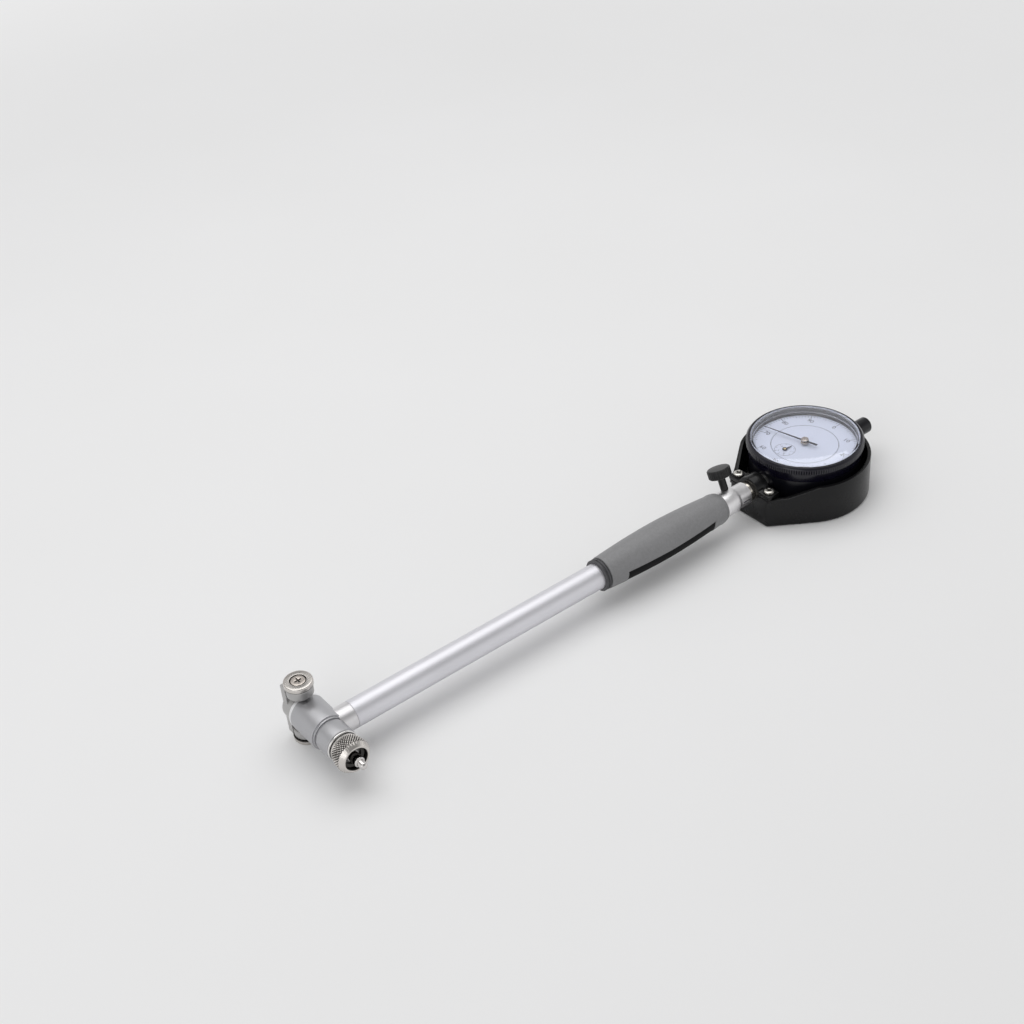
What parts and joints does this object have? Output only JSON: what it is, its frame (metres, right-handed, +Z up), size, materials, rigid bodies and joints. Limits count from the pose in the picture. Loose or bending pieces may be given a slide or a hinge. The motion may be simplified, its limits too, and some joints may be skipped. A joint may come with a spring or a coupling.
{
  "type": "dial bore gauge",
  "caption": "Hand-held bore gauge: T-shaped measuring head with guide wheels and bell crank, long tube, plastic grip, clamped dial indicator and its teardrop guard.",
  "frame": {"origin": "centre of the whole gauge's box on the surface that it lies on", "axes": "+X along the stem from the measuring head to the indicator, +Y along the measuring axis from the fixed anvil to the moving contact, +Z up out of the dial's face"},
  "size_m": [0.3384, 0.065, 0.0344],
  "materials": {
    "satin_steel": "satin turned",
    "ground_steel": "ground",
    "satin_tube": "satin chromed",
    "collar_metal": "satin",
    "dark_steel": "blackened",
    "spring_steel": "drawn wire",
    "chromed": "polished",
    "nickel": "nickel plated",
    "brass_bush": "turned",
    "movement_brass": "fine brushed",
    "grip_plastic": "fine grained",
    "dark_plastic": "smooth",
    "black_label": "satin film",
    "black_paint": "satin black",
    "guard_paint": "black enamel",
    "clear_window": "clear",
    "dial_white": "matte white",
    "hand_black": "satin black"
  },
  "bodies": {
    "gauge": {"head_body": "satin_steel", "plunger_bush": "brass_bush", "crank_pin": "ground_steel", "bridge_stop_pin": "ground_steel", "anvil": "chromed", "tube_ferrule": "ground_steel", "tube": "satin_tube", "rod_bush": "brass_bush", "rod_spring": "spring_steel", "bridge_spring": "spring_steel", "grip_ring": "dark_plastic", "grip": "grip_plastic", "grip_inset": "black_label", "clamp_collar": "collar_metal", "clamp_sleeve": "nickel", "indicator_case": "black_paint", "back_plate": "black_paint", "back_screws": "nickel", "stem_bush": "ground_steel", "top_cap": "black_paint", "dial_disc": "dial_white", "movement_bridge": "movement_brass", "hairspring": "spring_steel", "spindle_spring": "spring_steel", "guard_shell": "guard_paint", "guard_clamp": "guard_paint", "guard_screws": "nickel"},
    "contact": {"contact_plunger": "ground_steel"},
    "crank": {"bell_crank": "ground_steel"},
    "bridge": {"centring_bridge": "satin_steel", "wheel_screws": "dark_steel"},
    "upper_wheel": {"guide_wheel_upper": "ground_steel"},
    "lower_wheel": {"guide_wheel_lower": "ground_steel"},
    "lock_nut": {"anvil_lock_nut": "nickel"},
    "rod": {"push_rod": "ground_steel"},
    "measuring_spindle": {"spindle": "ground_steel", "contact_point": "ground_steel"},
    "hand": {"centre_pinion": "ground_steel", "pointer": "hand_black", "pointer_hub": "nickel"},
    "counter": {"rack_wheel": "movement_brass", "counter_hand": "hand_black"},
    "take_up": {"take_up_wheel": "movement_brass"},
    "rim": {"bezel": "black_paint", "crystal": "clear_window", "dial_ring": "dial_white"},
    "thumb": {"thumb_screw": "dark_steel"}
  },
  "joints": [
    {"name": "pointer_turn", "type": "hinge", "parent": "gauge", "child": "hand", "pos_m": [0.12425, 0, 0.026], "axis": [0, 0, -1], "range_deg": [0, 576]},
    {"name": "contact_slide", "type": "slide", "parent": "gauge", "child": "contact", "axis": [0, -1, 0], "range_m": [0, 0.0016]},
    {"name": "crank_turn", "type": "hinge", "parent": "gauge", "child": "crank", "pos_m": [-0.15755, 0.0032, 0.016], "axis": [0, 0, 1], "range_deg": [0, 28.65]},
    {"name": "push_rod_slide", "type": "slide", "parent": "gauge", "child": "rod", "axis": [1, 0, 0], "range_m": [0, 0.0016], "stiffness_N_per_m": 300, "springref_m": -0.003, "deforming": ["rod_spring"]},
    {"name": "spindle_slide", "type": "slide", "parent": "gauge", "child": "measuring_spindle", "axis": [1, 0, 0], "range_m": [0, 0.0016], "deforming": ["spindle_spring"]},
    {"name": "counter_turn", "type": "hinge", "parent": "gauge", "child": "counter", "pos_m": [0.11375, 0.00329, 0.016], "axis": [0, 0, 1], "range_deg": [0, 57.6]},
    {"name": "take_up_turn", "type": "hinge", "parent": "gauge", "child": "take_up", "pos_m": [0.13229, -0.0075, 0.016], "axis": [0, 0, 1], "range_deg": [0, 57.6]},
    {"name": "bridge_slide", "type": "slide", "parent": "gauge", "child": "bridge", "axis": [0, -1, 0], "range_m": [0, 0.003], "stiffness_N_per_m": 200, "springref_m": -0.005, "deforming": ["bridge_spring"]},
    {"name": "upper_wheel_spin", "type": "hinge", "parent": "bridge", "child": "upper_wheel", "pos_m": [-0.16075, 0.0176, 0.0298], "axis": [0, 0, 1], "continuous": true},
    {"name": "lower_wheel_spin", "type": "hinge", "parent": "bridge", "child": "lower_wheel", "pos_m": [-0.16075, 0.0176, 0.0022], "axis": [0, 0, 1], "continuous": true},
    {"name": "lock_nut_turn", "type": "hinge", "parent": "gauge", "child": "lock_nut", "pos_m": [-0.16075, -0.019, 0.016], "axis": [0, 1, 0], "range_deg": [0, 720]},
    {"name": "bezel_turn", "type": "hinge", "parent": "gauge", "child": "rim", "pos_m": [0.12425, 0, 0.026], "axis": [0, 0, 1], "continuous": true},
    {"name": "thumb_screw_turn", "type": "hinge", "parent": "gauge", "child": "thumb", "pos_m": [0.07225, 0, 0.016], "axis": [0, 0.4226, 0.9063], "range_deg": [0, 540]}
  ],
  "couplings": [
    {"joint": "pointer_turn", "follows": "push_rod_slide", "rad_per_m": 6283.2},
    {"joint": "contact_slide", "follows": "push_rod_slide", "ratio": 1},
    {"joint": "crank_turn", "follows": "push_rod_slide", "rad_per_m": 312.5},
    {"joint": "spindle_slide", "follows": "push_rod_slide", "ratio": 1},
    {"joint": "counter_turn", "follows": "push_rod_slide", "rad_per_m": 628.32},
    {"joint": "take_up_turn", "follows": "push_rod_slide", "rad_per_m": 628.32}
  ]
}
